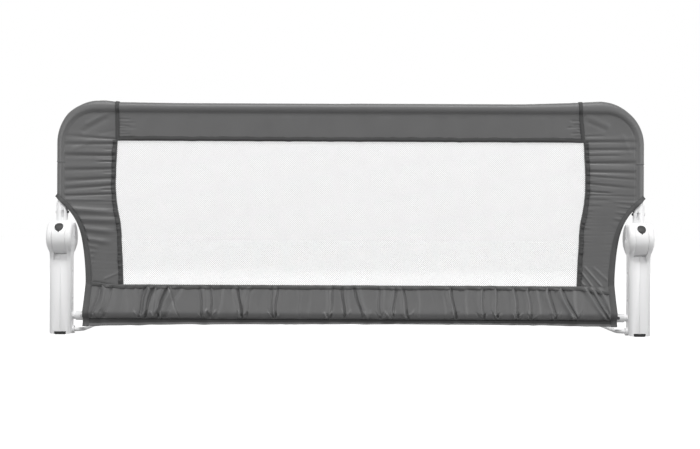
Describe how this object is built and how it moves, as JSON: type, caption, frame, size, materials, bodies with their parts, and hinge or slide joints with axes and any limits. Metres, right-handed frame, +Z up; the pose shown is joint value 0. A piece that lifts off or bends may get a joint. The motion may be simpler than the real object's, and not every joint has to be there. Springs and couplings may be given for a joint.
{
  "type": "folding bed guard rail",
  "caption": "Bed guard rail with a padded-edge net cover on a tube frame that folds down on push-button hinge heads, standing on posts with arms that reach back under the mattress",
  "frame": {"origin": "bottom centre of the whole rail's box, level with the undersides of the foot pads", "axes": "+X along the rail to the right seen from the front, +Y from the rail back under the mattress, +Z up"},
  "size_m": [1.0526, 0.359, 0.4048],
  "materials": {
    "shell_white": "satin moulded plastic",
    "painted_white": "smooth powder coat",
    "button_grey": "fine grain plastic",
    "bare_steel": "bright drawn steel",
    "black_rubber": "matte rubber",
    "cover_fabric": "tightly woven cloth",
    "binding_tape": "folded binding tape",
    "net_white": "open knitted net"
  },
  "bodies": {
    "base": {"left_outer_shell": "shell_white", "left_inner_shell": "shell_white", "left_foot_pad": "black_rubber", "left_shell_screw_1": "bare_steel", "left_shell_screw_2": "bare_steel", "left_arm": "painted_white", "left_arm_cap": "black_rubber", "left_cross_tube_plug": "shell_white", "left_lower_snap_leaf": "bare_steel", "left_pivot_bolt": "bare_steel", "left_pivot_nut": "bare_steel", "left_lower_side_panel": "cover_fabric", "left_lower_binding": "binding_tape", "right_outer_shell": "shell_white", "right_inner_shell": "shell_white", "right_foot_pad": "black_rubber", "right_shell_screw_1": "bare_steel", "right_shell_screw_2": "bare_steel", "right_arm": "painted_white", "right_arm_cap": "black_rubber", "right_cross_tube_plug": "shell_white", "right_lower_snap_leaf": "bare_steel", "right_pivot_bolt": "bare_steel", "right_pivot_nut": "bare_steel", "right_lower_side_panel": "cover_fabric", "right_lower_binding": "binding_tape", "lower_cross_tube": "painted_white", "bottom_band": "cover_fabric", "lower_net": "net_white"},
    "upper_frame": {"left_hinge_drum": "shell_white", "left_button_spring": "bare_steel", "left_upright": "painted_white", "left_upper_snap_leaf": "bare_steel", "left_upper_side_panel": "cover_fabric", "left_upper_binding": "binding_tape", "right_hinge_drum": "shell_white", "right_button_spring": "bare_steel", "right_upright": "painted_white", "right_upper_snap_leaf": "bare_steel", "right_upper_side_panel": "cover_fabric", "right_upper_binding": "binding_tape", "top_tube": "painted_white", "top_band": "cover_fabric", "upper_net": "net_white"},
    "left_button": {"left_push_button": "button_grey", "left_lock_bar": "bare_steel"},
    "left_upper_snap_button": {"left_upper_snap": "bare_steel"},
    "left_lower_snap_button": {"left_lower_snap": "bare_steel"},
    "right_button": {"right_push_button": "button_grey", "right_lock_bar": "bare_steel"},
    "right_upper_snap_button": {"right_upper_snap": "bare_steel"},
    "right_lower_snap_button": {"right_lower_snap": "bare_steel"}
  },
  "joints": [
    {"name": "fold", "type": "hinge", "parent": "base", "child": "upper_frame", "pos_m": [0, -0.1505, 0.169], "axis": [1, 0, 0], "range_deg": [0, 130]},
    {"name": "left_button_press", "type": "slide", "parent": "upper_frame", "child": "left_button", "axis": [0, 0.7771, -0.6293], "range_m": [0, 0.004], "stiffness_N_per_m": 600},
    {"name": "left_upper_snap_press", "type": "slide", "parent": "upper_frame", "child": "left_upper_snap_button", "axis": [-1, 0, 0], "range_m": [0, 0.0024], "stiffness_N_per_m": 800},
    {"name": "left_lower_snap_press", "type": "slide", "parent": "base", "child": "left_lower_snap_button", "axis": [0, 1, 0], "range_m": [0, 0.0024], "stiffness_N_per_m": 800},
    {"name": "right_button_press", "type": "slide", "parent": "upper_frame", "child": "right_button", "axis": [0, 0.7771, -0.6293], "range_m": [0, 0.004], "stiffness_N_per_m": 600},
    {"name": "right_upper_snap_press", "type": "slide", "parent": "upper_frame", "child": "right_upper_snap_button", "axis": [1, 0, 0], "range_m": [0, 0.0024], "stiffness_N_per_m": 800},
    {"name": "right_lower_snap_press", "type": "slide", "parent": "base", "child": "right_lower_snap_button", "axis": [0, 1, 0], "range_m": [0, 0.0024], "stiffness_N_per_m": 800}
  ]
}
